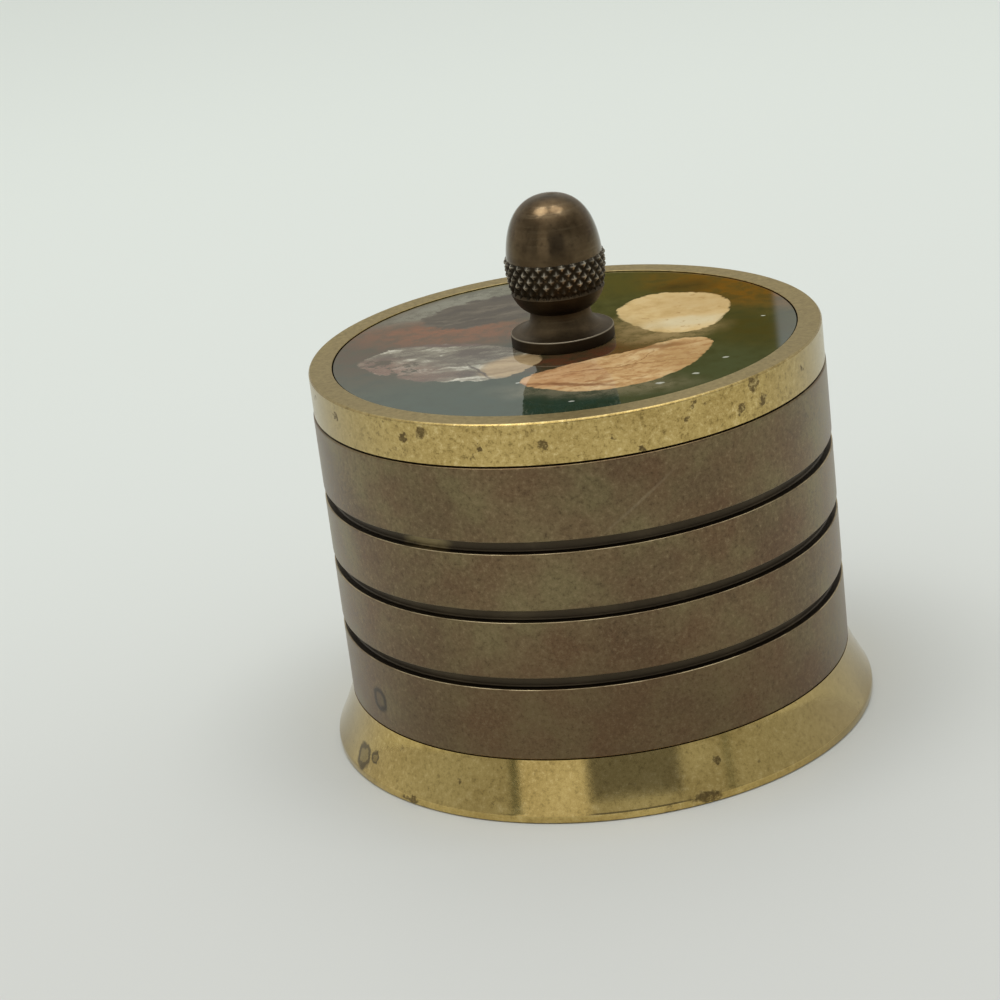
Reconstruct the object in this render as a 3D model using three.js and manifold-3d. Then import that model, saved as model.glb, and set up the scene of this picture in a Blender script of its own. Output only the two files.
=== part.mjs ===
// A round turned-brass trinket box: a patinated tube with three turned grooves on a flared foot,
// and a lift-off lid with stone slices set in resin and an acorn knob.
// Millimetres, +Z up. The origin is the middle of the foot's underside, and -Y is the front.
import * as THREE from "three";
import { mergeVertices } from "three/addons/utils/BufferGeometryUtils.js";
import Module from "manifold-3d";

// Foot: a flared ring with an upstand inside the tube and a ledge for the floor plate.
const FOOT_FLARE = 2.45;
const FOOT_HEIGHT = 6.5;
const FOOT_RIM_HEIGHT = 0.9;
const FOOT_FLARE_HOLLOW = 0.35;
const FOOT_EDGE_CHAMFER = 0.25;
const FOOT_UPSTAND_HEIGHT = 3;
const FOOT_UPSTAND_WALL = 1.6;
const FLOOR_RECESS = 3.2;
const FLOOR_LEDGE_WIDTH = 1.7;
const FLOOR_THICKNESS = 1.6;

// Tube: the side of the box.
const TUBE_RADIUS = 29.4;
const TUBE_WALL = 2.6;
const TUBE_LENGTH = 34;
const TUBE_EDGE_CHAMFER = 0.2;
const GROOVE_COUNT = 3;
const GROOVE_PITCH = 7.9;
const GROOVE_WIDTH = 1.35;
const GROOVE_DEPTH = 0.9;

// Lid: a ring with an inner ledge, a plate on the ledge, and a spigot that drops into the tube.
const LID_SETBACK = 0.1;
const LID_HEIGHT = 4.8;
const LID_RIM_WIDTH = 2.7;
const LID_EDGE_CHAMFER = 0.3;
const LID_LEDGE_WIDTH = 2;
const LID_LEDGE_THICKNESS = 1.2;
const LID_PLATE_THICKNESS = 1;
const LID_SEAT_GAP = 0.1;
const SPIGOT_DEPTH = 4;
const SPIGOT_WALL = 1.5;
const SPIGOT_CLEARANCE = 0.3;

// Inlay: resin cast on the plate around the stone slices, and ground flat just under the rim.
const INLAY_SINK = 0.15;
const STONE_GAP = 0.3;
const STONE_OUTLINE_STEPS = 40;

// Knob: an acorn turned in one piece, held by one screw from under the plate.
const PEDESTAL_RADIUS = 5.9;
const PEDESTAL_HEIGHT = 1.4;
const PEDESTAL_EDGE_CHAMFER = 0.2;
const PEDESTAL_SHOULDER = 0.35;
const NECK_RADIUS = 3.45;
const NECK_HEIGHT = 3.8;
const CUP_RADIUS = 5.8;
const CUP_HEIGHT = 6.3;
const CUP_BELLY_DROP = 1.7;
const CUP_TOP_TAPER = 0.1;
const NUT_STEP = 0.25;
const NUT_HEIGHT = 6.95;
const NUT_TAPER = 0.45;
const SCREW_RADIUS = 1.5;
const SCREW_ENGAGEMENT = 7;
const SCREW_TIP_ROOM = 1;
const SCREW_HEAD_RADIUS = 2.9;
const SCREW_HEAD_HEIGHT = 1.8;
const SCREW_SLOT_WIDTH = 0.8;
const SCREW_SLOT_DEPTH = 0.9;
const WASHER_RADIUS = 4.2;
const WASHER_THICKNESS = 0.8;

// Clearances shared by the pieces that fit in one another.
const SOLDER_CLEARANCE = 0.15;
const SCREW_HOLE_CLEARANCE = 0.4;
const THREAD_CLEARANCE = 0.1;

// Facets round a turned piece.
const RING_SEGMENTS = 64;
const KNOB_SEGMENTS = 32;
const SCREW_SEGMENTS = 24;
const CURVE_STEPS = 6;

// Radii and heights that follow from the sizes above.
const footRadius = TUBE_RADIUS + FOOT_FLARE;
const lidRadius = TUBE_RADIUS - LID_SETBACK;
const tubeBore = TUBE_RADIUS - TUBE_WALL;
const upstandRadius = tubeBore - SOLDER_CLEARANCE;
const floorSeatRadius = upstandRadius - FOOT_UPSTAND_WALL;
const footBore = floorSeatRadius - FLOOR_LEDGE_WIDTH;
const inlaySeatRadius = lidRadius - LID_RIM_WIDTH;
const inlayRadius = inlaySeatRadius - SOLDER_CLEARANCE;
const ledgeRadius = inlaySeatRadius - LID_LEDGE_WIDTH;
const spigotRadius = tubeBore - SPIGOT_CLEARANCE;
const plateTop = LID_LEDGE_THICKNESS + LID_PLATE_THICKNESS;
const inlayTop = LID_HEIGHT - INLAY_SINK;
const inlayThickness = inlayTop - plateTop;
const screwHole = SCREW_RADIUS + SCREW_HOLE_CLEARANCE;

// Finishes.
const brightBrass = new THREE.MeshStandardMaterial({ color: 0xb59a55, roughness: 0.35, metalness: 1 });
const agedBrass = new THREE.MeshStandardMaterial({ color: 0x77654a, roughness: 0.45, metalness: 1 });
const plainBrass = new THREE.MeshStandardMaterial({ color: 0xa08a52, roughness: 0.5, metalness: 1 });
const knobBrass = new THREE.MeshStandardMaterial({ color: 0x3f3426, roughness: 0.3, metalness: 1 });
const greenResin = new THREE.MeshStandardMaterial({ color: 0x2c3424, roughness: 0.08, metalness: 0 });

const wasm = await Module();
wasm.setup();

// A closed geometry as a solid that can be joined and cut.
function solidOf(geometry) {
  const bare = geometry.clone();
  bare.deleteAttribute("normal");
  bare.deleteAttribute("uv");
  const merged = mergeVertices(bare);
  const vertProperties = merged.attributes.position.array;
  const triVerts = new Uint32Array(merged.index.array);
  return new wasm.Manifold(new wasm.Mesh({ numProp: 3, vertProperties, triVerts }));
}

// A solid back as a geometry.
function geometryOf(solid) {
  const { vertProperties, triVerts } = solid.getMesh();
  const geometry = new THREE.BufferGeometry();
  geometry.setAttribute("position", new THREE.BufferAttribute(vertProperties, 3));
  geometry.setIndex(new THREE.BufferAttribute(triVerts, 1));
  geometry.computeVertexNormals();
  return geometry;
}

// A piece turned about Z. The profile's x is the radius and its y the height.
function turned(profile, segments) {
  return new THREE.LatheGeometry(profile.getPoints(CURVE_STEPS), segments).rotateX(Math.PI / 2);
}

// A plain ring, as the profile of a washer, plate or spigot.
function ringProfile(innerRadius, outerRadius, bottom, top) {
  const profile = new THREE.Path();
  profile.moveTo(innerRadius, bottom);
  profile.lineTo(outerRadius, bottom);
  profile.lineTo(outerRadius, top);
  profile.lineTo(innerRadius, top);
  profile.closePath();
  return profile;
}

function named(name, geometry, material) {
  const mesh = new THREE.Mesh(geometry, material);
  mesh.name = name;
  return mesh;
}

// Foot ring. The flare is a shallow hollow curve from the rim up to the tube.
function footRing() {
  const profile = new THREE.Path();
  const flareMiddle = (footRadius + TUBE_RADIUS) / 2 - 2 * FOOT_FLARE_HOLLOW;
  const flareMiddleHeight = (FOOT_RIM_HEIGHT + FOOT_HEIGHT) / 2;
  profile.moveTo(footBore, 0);
  profile.lineTo(footRadius - FOOT_EDGE_CHAMFER, 0);
  profile.lineTo(footRadius, FOOT_EDGE_CHAMFER);
  profile.lineTo(footRadius, FOOT_RIM_HEIGHT);
  profile.quadraticCurveTo(flareMiddle, flareMiddleHeight, TUBE_RADIUS, FOOT_HEIGHT);
  profile.lineTo(upstandRadius, FOOT_HEIGHT);
  profile.lineTo(upstandRadius, FOOT_HEIGHT + FOOT_UPSTAND_HEIGHT);
  profile.lineTo(floorSeatRadius, FOOT_HEIGHT + FOOT_UPSTAND_HEIGHT);
  profile.lineTo(floorSeatRadius, FLOOR_RECESS);
  profile.lineTo(footBore, FLOOR_RECESS);
  profile.closePath();
  return turned(profile, RING_SEGMENTS);
}

// Floor plate: a disc on the foot's ledge.
function floorPlate() {
  const radius = floorSeatRadius - SOLDER_CLEARANCE;
  const profile = new THREE.Path();
  profile.moveTo(0, FLOOR_RECESS);
  profile.lineTo(radius, FLOOR_RECESS);
  profile.lineTo(radius, FLOOR_RECESS + FLOOR_THICKNESS);
  profile.lineTo(0, FLOOR_RECESS + FLOOR_THICKNESS);
  return turned(profile, RING_SEGMENTS);
}

// Body tube, with its height measured from its own lower end.
function bodyTube() {
  const profile = new THREE.Path();
  const grooveRadius = TUBE_RADIUS - GROOVE_DEPTH;
  profile.moveTo(tubeBore, 0);
  profile.lineTo(TUBE_RADIUS - TUBE_EDGE_CHAMFER, 0);
  profile.lineTo(TUBE_RADIUS, TUBE_EDGE_CHAMFER);
  for (let i = 0; i < GROOVE_COUNT; i++) {
    const middle = TUBE_LENGTH / 2 + (i - (GROOVE_COUNT - 1) / 2) * GROOVE_PITCH;
    profile.lineTo(TUBE_RADIUS, middle - GROOVE_WIDTH / 2);
    profile.lineTo(grooveRadius, middle - GROOVE_WIDTH / 2);
    profile.lineTo(grooveRadius, middle + GROOVE_WIDTH / 2);
    profile.lineTo(TUBE_RADIUS, middle + GROOVE_WIDTH / 2);
  }
  profile.lineTo(TUBE_RADIUS, TUBE_LENGTH - TUBE_EDGE_CHAMFER);
  profile.lineTo(TUBE_RADIUS - TUBE_EDGE_CHAMFER, TUBE_LENGTH);
  profile.lineTo(tubeBore, TUBE_LENGTH);
  profile.closePath();
  return turned(profile, RING_SEGMENTS);
}

// Lid rim. Heights in the lid are measured from the face that sits on the tube.
function lidRim() {
  const profile = new THREE.Path();
  profile.moveTo(ledgeRadius, 0);
  profile.lineTo(lidRadius - TUBE_EDGE_CHAMFER, 0);
  profile.lineTo(lidRadius, TUBE_EDGE_CHAMFER);
  profile.lineTo(lidRadius, LID_HEIGHT - LID_EDGE_CHAMFER);
  profile.lineTo(lidRadius - LID_EDGE_CHAMFER, LID_HEIGHT);
  profile.lineTo(inlaySeatRadius, LID_HEIGHT);
  profile.lineTo(inlaySeatRadius, LID_LEDGE_THICKNESS);
  profile.lineTo(ledgeRadius, LID_LEDGE_THICKNESS);
  profile.closePath();
  return turned(profile, RING_SEGMENTS);
}

function lidSpigot() {
  return turned(ringProfile(spigotRadius - SPIGOT_WALL, spigotRadius, -SPIGOT_DEPTH, 0), RING_SEGMENTS);
}

function lidPlate() {
  return turned(ringProfile(screwHole, inlayRadius, LID_LEDGE_THICKNESS, plateTop), RING_SEGMENTS);
}

// Stone slices: outlines on a disc of radius 1, seen from above, stretched to the inlay's radius.
const STONES = [
  {
    name: "stone_cream",
    color: 0xc8ad82,
    outline: [
      [0.24, 0.3], [0.3, 0.44], [0.42, 0.52], [0.56, 0.49], [0.69, 0.39],
      [0.75, 0.24], [0.69, 0.07], [0.59, -0.07], [0.47, -0.1], [0.34, 0.02],
    ],
  },
  {
    name: "stone_peach",
    color: 0xb8956a,
    outline: [
      [-0.2, -0.53], [-0.01, -0.38], [0.17, -0.31], [0.3, -0.27], [0.42, -0.2], [0.56, -0.19],
      [0.62, -0.25], [0.58, -0.42], [0.46, -0.62], [0.28, -0.74], [0.08, -0.76], [-0.09, -0.68],
    ],
  },
  {
    name: "stone_grey",
    color: 0x7a7262,
    outline: [
      [-0.9, -0.07], [-0.82, 0.1], [-0.67, 0.15], [-0.45, 0.11], [-0.25, 0], [-0.1, -0.2],
      [-0.15, -0.36], [-0.29, -0.46], [-0.48, -0.43], [-0.7, -0.33], [-0.84, -0.17],
    ],
  },
  {
    name: "stone_agate",
    color: 0x4a3b2c,
    outline: [
      [-0.64, 0.5], [-0.53, 0.67], [-0.36, 0.77], [-0.16, 0.8], [-0.02, 0.7],
      [-0.04, 0.52], [-0.2, 0.38], [-0.4, 0.32], [-0.56, 0.37],
    ],
  },
];

// A stone's outline as a smooth closed curve, moved out by a gap where it is a pocket.
function stoneOutline(points, gap) {
  const knots = points.map(([x, y]) => new THREE.Vector3(x * inlayRadius, y * inlayRadius, 0));
  const curve = new THREE.CatmullRomCurve3(knots, true);
  const around = curve.getPoints(STONE_OUTLINE_STEPS).slice(0, STONE_OUTLINE_STEPS);
  const turn = THREE.ShapeUtils.isClockWise(around) ? -1 : 1;
  const moved = around.map((point, i) => {
    const before = around[(i + STONE_OUTLINE_STEPS - 1) % STONE_OUTLINE_STEPS];
    const after = around[(i + 1) % STONE_OUTLINE_STEPS];
    const along = after.clone().sub(before).normalize();
    return new THREE.Vector2(point.x + turn * gap * along.y, point.y - turn * gap * along.x);
  });
  return new THREE.Shape(moved);
}

function stoneSlice(points) {
  const slice = new THREE.ExtrudeGeometry(stoneOutline(points, 0), {
    depth: inlayThickness,
    bevelEnabled: false,
  });
  return slice.translate(0, 0, plateTop);
}

// Resin disc with a pocket right through it for each stone.
function inlayResin() {
  const disc = turned(ringProfile(screwHole, inlayRadius, plateTop, inlayTop), RING_SEGMENTS);
  let resin = solidOf(disc);
  for (const { outline } of STONES) {
    const pocket = new THREE.ExtrudeGeometry(stoneOutline(outline, STONE_GAP), {
      depth: 2 * inlayThickness,
      bevelEnabled: false,
    });
    resin = resin.subtract(solidOf(pocket.translate(0, 0, plateTop - inlayThickness / 2)));
  }
  return geometryOf(resin);
}

// Acorn knob, from the top of the nut down to the pedestal and up the screw's hole.
function acornKnob() {
  const cupTop = NECK_HEIGHT + CUP_HEIGHT;
  const bellyHeight = cupTop - CUP_BELLY_DROP;
  const nutRadius = CUP_RADIUS - CUP_TOP_TAPER - NUT_STEP;
  const bowlRadius = THREE.MathUtils.lerp(CUP_RADIUS, NECK_RADIUS, 1 / 6);
  const bowlHeight = THREE.MathUtils.lerp(NECK_HEIGHT, bellyHeight, 1 / 6);
  const shoulderHeight = PEDESTAL_HEIGHT + PEDESTAL_SHOULDER;
  const knobTop = cupTop + NUT_HEIGHT;
  const nutWaist = THREE.MathUtils.lerp(cupTop, knobTop, 0.63);
  const threadRadius = SCREW_RADIUS + THREAD_CLEARANCE;
  const holeDepth = SCREW_ENGAGEMENT + SCREW_TIP_ROOM;
  const profile = new THREE.Path();
  profile.moveTo(0, holeDepth);
  profile.lineTo(threadRadius, holeDepth);
  profile.lineTo(threadRadius, 0);
  profile.lineTo(PEDESTAL_RADIUS, 0);
  profile.lineTo(PEDESTAL_RADIUS, PEDESTAL_HEIGHT - PEDESTAL_EDGE_CHAMFER);
  profile.lineTo(PEDESTAL_RADIUS - PEDESTAL_EDGE_CHAMFER, PEDESTAL_HEIGHT);
  profile.quadraticCurveTo(NECK_RADIUS, shoulderHeight, NECK_RADIUS, NECK_HEIGHT);
  profile.quadraticCurveTo(bowlRadius, bowlHeight, CUP_RADIUS, bellyHeight);
  profile.lineTo(CUP_RADIUS - CUP_TOP_TAPER, cupTop);
  profile.lineTo(nutRadius, cupTop);
  profile.bezierCurveTo(nutRadius - NUT_TAPER, nutWaist, 0.73 * nutRadius, knobTop, 0, knobTop);
  return turned(profile, KNOB_SEGMENTS);
}

// Slotted screw, with its height measured from the knob's seat on the inlay.
function knobScrew() {
  const headTop = -inlayTop + LID_LEDGE_THICKNESS - WASHER_THICKNESS;
  const headBottom = headTop - SCREW_HEAD_HEIGHT;
  const profile = new THREE.Path();
  profile.moveTo(0, headBottom);
  profile.lineTo(SCREW_HEAD_RADIUS / 2, headBottom);
  profile.quadraticCurveTo(SCREW_HEAD_RADIUS, headBottom, SCREW_HEAD_RADIUS, headTop);
  profile.lineTo(SCREW_RADIUS, headTop);
  profile.lineTo(SCREW_RADIUS, SCREW_ENGAGEMENT);
  profile.lineTo(0, SCREW_ENGAGEMENT);
  const slot = new THREE.BoxGeometry(4 * SCREW_HEAD_RADIUS, SCREW_SLOT_WIDTH, 2 * SCREW_SLOT_DEPTH);
  slot.translate(0, 0, headBottom);
  return geometryOf(solidOf(turned(profile, SCREW_SEGMENTS)).subtract(solidOf(slot)));
}

function knobWasher() {
  const top = -inlayTop + LID_LEDGE_THICKNESS;
  return turned(ringProfile(screwHole, WASHER_RADIUS, top - WASHER_THICKNESS, top), SCREW_SEGMENTS);
}

// The box that stands on the table.
const box = new THREE.Group();
const tube = named("body_tube", bodyTube(), agedBrass);
tube.position.z = FOOT_HEIGHT;
box.add(named("foot_ring", footRing(), brightBrass));
box.add(named("floor_plate", floorPlate(), plainBrass));
box.add(tube);

// The lid that lifts off, with its inlay.
const lid = new THREE.Group();
lid.position.z = FOOT_HEIGHT + TUBE_LENGTH + LID_SEAT_GAP;
lid.add(named("lid_rim", lidRim(), brightBrass));
lid.add(named("lid_spigot", lidSpigot(), plainBrass));
lid.add(named("lid_plate", lidPlate(), plainBrass));
lid.add(named("inlay_resin", inlayResin(), greenResin));
for (const { name, color, outline } of STONES) {
  const stone = new THREE.MeshStandardMaterial({ color, roughness: 0.12, metalness: 0 });
  lid.add(named(name, stoneSlice(outline), stone));
}

// The knob, with its screw and washer.
const knob = new THREE.Group();
knob.position.z = inlayTop;
knob.add(named("acorn_knob", acornKnob(), knobBrass));
knob.add(named("knob_screw", knobScrew(), plainBrass));
knob.add(named("knob_washer", knobWasher(), plainBrass));
lid.add(knob);

const trinketBox = new THREE.Group();
trinketBox.add(box, lid);

export default trinketBox;
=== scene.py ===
# %% [markdown]
# # A turned brass trinket box with a stone-inlaid lid
#
# The box is a brown, patinated brass tube with three dark grooves. It stands on a flared, bright foot,
# and its lid is a bright ring filled with stone slices in green resin, with an acorn knob in the middle.
# Nearly every piece was made on a lathe, so most of this lesson is about turning: a short profile,
# rounded corners, and one full spin. Sizes are in millimetres and become metres at the last moment.

# %% Load the fixed frame
import math

import bmesh
import bpy
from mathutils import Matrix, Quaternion, Vector


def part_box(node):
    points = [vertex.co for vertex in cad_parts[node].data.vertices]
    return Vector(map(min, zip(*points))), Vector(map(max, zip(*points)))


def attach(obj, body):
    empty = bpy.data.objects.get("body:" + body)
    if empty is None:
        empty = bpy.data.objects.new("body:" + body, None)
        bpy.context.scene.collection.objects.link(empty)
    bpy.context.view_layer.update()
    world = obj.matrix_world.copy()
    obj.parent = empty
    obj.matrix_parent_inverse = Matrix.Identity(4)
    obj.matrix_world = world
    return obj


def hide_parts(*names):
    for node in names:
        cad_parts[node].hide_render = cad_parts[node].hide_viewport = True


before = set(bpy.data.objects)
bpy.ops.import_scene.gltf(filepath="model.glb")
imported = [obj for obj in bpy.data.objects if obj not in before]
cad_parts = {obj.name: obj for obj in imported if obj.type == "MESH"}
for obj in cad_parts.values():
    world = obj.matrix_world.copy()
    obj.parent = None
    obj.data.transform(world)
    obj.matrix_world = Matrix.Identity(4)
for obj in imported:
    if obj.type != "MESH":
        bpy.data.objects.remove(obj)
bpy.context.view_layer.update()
MM = 0.001

# %% [markdown]
# ## Sizes from the frame
#
# Every turned solid in the frame is round about Z, so its radius, its foot and its top say where it is. The
# sizes could be typed in again here, but then they could drift apart. So the pieces below take them from
# the solids, and add only the small things that the solids leave out.

# %% Measure the solids
def measure(node):
    low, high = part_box(node)
    return high.x / MM, low.z / MM, high.z / MM


FOOT_RADIUS, FOOT_LOW, UPSTAND_TOP = measure("foot_ring")
TUBE_RADIUS, TUBE_LOW, TUBE_TOP = measure("body_tube")
FLOOR_RADIUS, FLOOR_LOW, FLOOR_TOP = measure("floor_plate")
LID_RADIUS, LID_LOW, LID_TOP = measure("lid_rim")
PLATE_RADIUS, PLATE_LOW, PLATE_TOP = measure("lid_plate")
SPIGOT_RADIUS, SPIGOT_LOW, SPIGOT_TOP = measure("lid_spigot")
INLAY_RADIUS, INLAY_LOW, INLAY_TOP = measure("inlay_resin")
KNOB_RADIUS, KNOB_LOW, KNOB_TOP = measure("acorn_knob")
print(f"tube {TUBE_RADIUS:.2f} mm in radius, foot {FOOT_RADIUS:.2f}, lid {LID_RADIUS:.2f}")
print(f"the knob's top is {KNOB_TOP:.2f} mm above the floor")

# %% [markdown]
# ## Camera
#
# The photograph looks down on the box at about 20 degrees, from a third of a metre away. A long lens
# keeps the ellipses of the lid and foot as flat as they are there. The camera could be turned by three
# angles, but aiming it with a tracking rotation is easier to read. It is then rolled a little about its
# own axis, because the picture isn't quite level.

# %% Place the camera
CAMERA_PLACE = Vector((0, -297.5, 135.6)) * MM
CAMERA_AIM = Vector((-9.47, 0, 26.72)) * MM
CAMERA_ROLL = -7.14
CAMERA_LENS = 98.1
SENSOR_WIDTH = 36


def add_object(name, data):
    item = bpy.data.objects.new(name, data)
    bpy.context.scene.collection.objects.link(item)
    return item


camera_data = bpy.data.cameras.new("camera")
camera_data.sensor_width = SENSOR_WIDTH
camera_data.lens = CAMERA_LENS
camera = add_object("camera", camera_data)
camera.location = CAMERA_PLACE
sight = CAMERA_AIM - CAMERA_PLACE
roll = Quaternion((0, 0, 1), math.radians(CAMERA_ROLL))
camera.rotation_euler = (sight.to_track_quat("-Z", "Y") @ roll).to_euler()
bpy.context.scene.camera = camera
print("camera is", round(sight.length / MM), "mm from its aim")

# %% [markdown]
# ## Helpers for finishes
#
# Each finish is a small node tree, and a tree could be wired node by node. But the same few steps come
# back in all of them, so each step is a helper that returns the socket to go on with. `mix` lays one
# colour over another, `tint` does so at part strength, and `spread` fades a mask in between two values.

# %% Node helpers: sockets, mixes and ramps
# A Mix node has a set of sockets for each kind of data, and these are the places of its colour sockets.
COLOUR_A, COLOUR_B, COLOUR_RESULT = 6, 7, 2


def plug(tree, socket, value):
    if isinstance(value, bpy.types.NodeSocket):
        tree.links.new(value, socket)
    elif isinstance(value, tuple):
        socket.default_value = (*value, 1)
    else:
        socket.default_value = value


def mix(tree, amount, first, second):
    node = tree.nodes.new("ShaderNodeMix")
    node.data_type = "RGBA"
    plug(tree, node.inputs["Factor"], amount)
    plug(tree, node.inputs[COLOUR_A], first)
    plug(tree, node.inputs[COLOUR_B], second)
    return node.outputs[COLOUR_RESULT]


def ramp(tree, value, *stops):
    node = tree.nodes.new("ShaderNodeValToRGB")
    points = node.color_ramp.elements
    while len(points) < len(stops):
        points.new(0.5)
    for point, (position, tone) in zip(points, stops):
        point.position = position
        point.color = (*tone, 1)
    tree.links.new(value, node.inputs["Fac"])
    return node.outputs["Color"]


def math_node(tree, operation, *values):
    node = tree.nodes.new("ShaderNodeMath")
    node.operation = operation
    for socket, value in zip(node.inputs, values):
        plug(tree, socket, value)
    return node.outputs[0]


def times(tree, first, second):
    return math_node(tree, "MULTIPLY", first, second)


def most(tree, first, *others):
    for other in others:
        first = math_node(tree, "MAXIMUM", first, other)
    return first


def tint(tree, tone, mask, strength, colour):
    return mix(tree, times(tree, mask, strength), tone, colour)


def spread(tree, value, low, high, to_low=0.0, to_high=1.0):
    node = tree.nodes.new("ShaderNodeMapRange")
    node.interpolation_type = "SMOOTHSTEP"
    plug(tree, node.inputs["Value"], value)
    for label, number in (("From Min", low), ("From Max", high), ("To Min", to_low), ("To Max", to_high)):
        node.inputs[label].default_value = number
    return node.outputs["Result"]


print("sockets, mixes and ramps are ready")

# %% [markdown]
# ## Helpers for patterns
#
# All patterns start from Object coordinates that a Mapping node turns into millimetres, so that each can
# be sized as on the real thing. A Mapping node of type Texture moves, turns and sizes a pattern the way
# one would move a stencil, so `stencil` is the base of both the noises and the soft round marks. A stencil
# that reaches FAR along an axis ignores that axis: this gives a point's height, or its distance from the
# turning axis. `ragged` pushes the coordinates about, which makes the edge of a mark uneven.

# %% Node helpers: stencils, noises and marks
ORIGIN = (0, 0, 0)
NO_TURN = (0, 0, 0)
FAR = 1000


def start_finish(name):
    finish = bpy.data.materials.new(name)
    finish.use_nodes = True
    tree = finish.node_tree
    place = tree.nodes.new("ShaderNodeTexCoord")
    millimetres = tree.nodes.new("ShaderNodeMapping")
    millimetres.inputs["Scale"].default_value = (1 / MM, 1 / MM, 1 / MM)
    tree.links.new(place.outputs["Object"], millimetres.inputs["Vector"])
    return finish, tree, tree.nodes["Principled BSDF"], millimetres.outputs["Vector"]


def stencil(tree, where, centre, reach, turned=NO_TURN):
    node = tree.nodes.new("ShaderNodeMapping")
    node.vector_type = "TEXTURE"
    node.inputs["Location"].default_value = centre
    node.inputs["Rotation"].default_value = [math.radians(angle) for angle in turned]
    node.inputs["Scale"].default_value = reach if isinstance(reach, tuple) else (reach, reach, reach)
    tree.links.new(where, node.inputs["Vector"])
    return node.outputs["Vector"]


def noise(tree, where, size, detail=4, roughness=0.55, turned=NO_TURN, output="Fac"):
    node = tree.nodes.new("ShaderNodeTexNoise")
    node.inputs["Scale"].default_value = 1
    node.inputs["Detail"].default_value = detail
    node.inputs["Roughness"].default_value = roughness
    tree.links.new(stencil(tree, where, ORIGIN, size, turned), node.inputs["Vector"])
    return node.outputs[output]


def vector_node(tree, operation, first, second):
    node = tree.nodes.new("ShaderNodeVectorMath")
    node.operation = operation
    tree.links.new(first, node.inputs[0])
    if isinstance(second, bpy.types.NodeSocket):
        tree.links.new(second, node.inputs[1])
    elif operation == "SCALE":
        node.inputs["Scale"].default_value = second
    else:
        node.inputs[1].default_value = second
    return node.outputs["Value" if operation == "LENGTH" else "Vector"]


def ragged(tree, where, size, amount):
    push = vector_node(tree, "SUBTRACT", noise(tree, where, size, output="Color"), (0.5, 0.5, 0.5))
    return vector_node(tree, "ADD", where, vector_node(tree, "SCALE", push, amount))


def reach_from(tree, where, centre, reach, turned=NO_TURN):
    return vector_node(tree, "LENGTH", stencil(tree, where, centre, reach, turned), ORIGIN)


def height_of(tree, where):
    return reach_from(tree, where, ORIGIN, (FAR, FAR, 1))


def radius_of(tree, where):
    return reach_from(tree, where, ORIGIN, (1, 1, FAR))


def mark(tree, where, centre, reach, turned=NO_TURN, soft=0.3):
    return spread(tree, reach_from(tree, where, centre, reach, turned), 1 + soft, 1 - soft)


def on_turned_side(radius, angle, height):
    return (radius * math.cos(math.radians(angle)), radius * math.sin(math.radians(angle)), height)


print("stencils, noises and marks are ready")

# %% [markdown]
# ## Bright brass
#
# The lid's ring and the foot are worn bright: yellow brass with a sandy grain, slow patches that are a little
# duller, patches of painted shade at their left and right where they reflect less light, and brown spots of
# tarnish. One noise could make all the spots, but the largest are landmarks of this box, so they are placed
# one by one. A ring of tarnish is what a dried drop leaves: a mark with a lighter middle. Tarnish is also
# more matt, so the same mask raises the roughness. The lid's flat top is coloured darker and more matt, and a
# height tells it from the side.

# %% Bright brass finish
DUSKY_BRASS, YELLOW_BRASS = (0.50, 0.355, 0.12), (0.66, 0.49, 0.18)
BRASS_GLINT, BRASS_PIT = (0.92, 0.73, 0.35), (0.20, 0.135, 0.045)
TOP_FACE_DARK, TOP_FACE_LIGHT = (0.265, 0.205, 0.092), (0.405, 0.32, 0.152)
BRASS_SIDE_SHADE = (0.34, 0.265, 0.14)
TARNISH = (0.12, 0.08, 0.034)
DROP_STAIN = (0.085, 0.062, 0.032)


def bump(tree, shader, height, depth):
    node = tree.nodes.new("ShaderNodeBump")
    node.inputs["Strength"].default_value = 1
    node.inputs["Distance"].default_value = depth * MM
    tree.links.new(height, node.inputs["Height"])
    tree.links.new(node.outputs["Normal"], shader.inputs["Normal"])


def metal(tree, shader, tone, roughness, grain, relief):
    plug(tree, shader.inputs["Base Color"], tone)
    plug(tree, shader.inputs["Roughness"], roughness)
    shader.inputs["Metallic"].default_value = 1
    bump(tree, shader, grain, relief)


def drop_ring(tree, where, centre, radius, filled):
    away = math_node(tree, "SUBTRACT", reach_from(tree, where, centre, radius), 1)
    edge = spread(tree, math_node(tree, "ABSOLUTE", away), 0.5, 0.1, 0, 0.85)
    return most(tree, edge, spread(tree, away, 0.1, -0.2, 0, filled))


def tarnish_spots(tree, where, grain, spots):
    tarnish = spread(tree, noise(tree, where, 1.4, detail=6, roughness=0.7), 0.61, 0.72, 0, 0.7)
    uneven = ragged(tree, where, 0.8, 1.9)
    broken = spread(tree, grain, 0.66, 0.46, 0.15, 1)
    for centre, reach in spots:
        tarnish = most(tree, tarnish, times(tree, mark(tree, uneven, centre, reach, soft=0.2), broken))
    return tarnish


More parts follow.
